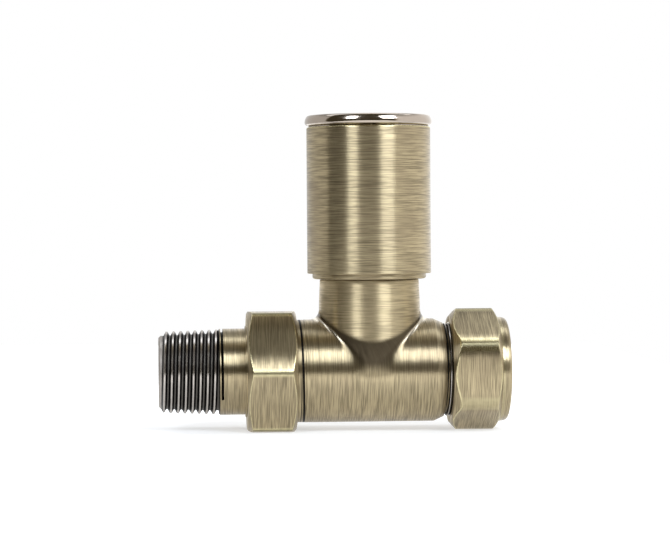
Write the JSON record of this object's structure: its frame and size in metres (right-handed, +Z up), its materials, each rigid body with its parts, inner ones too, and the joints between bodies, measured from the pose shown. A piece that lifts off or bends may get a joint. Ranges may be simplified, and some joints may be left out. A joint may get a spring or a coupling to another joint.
{
  "type": "manual radiator valve",
  "caption": "Straight manual radiator valve in brushed antique brass: tee body, round knob with polished cap, union nut with threaded tail and compression nut for the pipe.",
  "frame": {"origin": "centre of the stop that the pipe meets at the bottom of the pipe socket, on the run's axis", "axes": "+X along the run, out of the pipe socket; +Z up the spindle towards the knob; +Y away from the viewer, completing the right hand"},
  "size_m": [0.0894, 0.0346, 0.0814],
  "materials": {
    "brushed_brass": "antique brass, brushed round each piece's own axis",
    "polished_brass": "antique brass, polished",
    "plain_brass": "machined",
    "dark_tail": "antique brass with darkened thread",
    "rubber": "matte",
    "fibre": "matte",
    "insert_plastic": "moulded",
    "screw_steel": "zinc plated"
  },
  "bodies": {
    "valve": {"valve_body": "brushed_brass", "headgear": "plain_brass", "headgear_gasket": "fibre", "gland_packing": "rubber", "gland_nut": "plain_brass"},
    "tail": {"union_tail": "dark_tail", "tail_o_ring": "rubber"},
    "union_nut": {"union_nut": "brushed_brass"},
    "olive": {"olive": "plain_brass"},
    "compression_nut": {"compression_nut": "brushed_brass"},
    "jumper": {"jumper": "plain_brass", "seat_washer": "rubber", "washer_nut": "plain_brass"},
    "knob": {"spindle": "plain_brass", "spindle_o_ring_lower": "rubber", "spindle_o_ring_upper": "rubber", "spindle_clip": "screw_steel", "knob_sleeve": "brushed_brass", "knob_insert": "insert_plastic", "lock_washer": "screw_steel", "knob_screw": "screw_steel", "knob_cap": "polished_brass"}
  },
  "joints": [
    {"name": "jumper_lift", "type": "slide", "parent": "valve", "child": "jumper", "axis": [0, 0, 1], "range_m": [0, 0.0045]},
    {"name": "knob_turn", "type": "hinge", "parent": "valve", "child": "knob", "pos_m": [-0.011, 0, 0], "axis": [0, 0, 1], "range_deg": [0, 1080]},
    {"name": "tail_draw", "type": "slide", "parent": "valve", "child": "tail", "axis": [-1, 0, 0], "range_m": [0, 0.00726]},
    {"name": "union_nut_turn", "type": "hinge", "parent": "tail", "child": "union_nut", "pos_m": [-0.036, 0, 0], "axis": [-1, 0, 0], "range_deg": [0, 1440]},
    {"name": "olive_draw", "type": "slide", "parent": "valve", "child": "olive", "axis": [1, 0, 0], "range_m": [0, 0.0075]},
    {"name": "compression_nut_turn", "type": "hinge", "parent": "olive", "child": "compression_nut", "pos_m": [0.0176, 0, 0], "axis": [1, 0, 0], "range_deg": [0, 3600]}
  ],
  "couplings": [
    {"joint": "jumper_lift", "follows": "knob_turn", "m_per_rad": 0.00023873},
    {"joint": "tail_draw", "follows": "union_nut_turn", "m_per_rad": 0.00028871},
    {"joint": "olive_draw", "follows": "compression_nut_turn", "m_per_rad": 0.00011937}
  ]
}
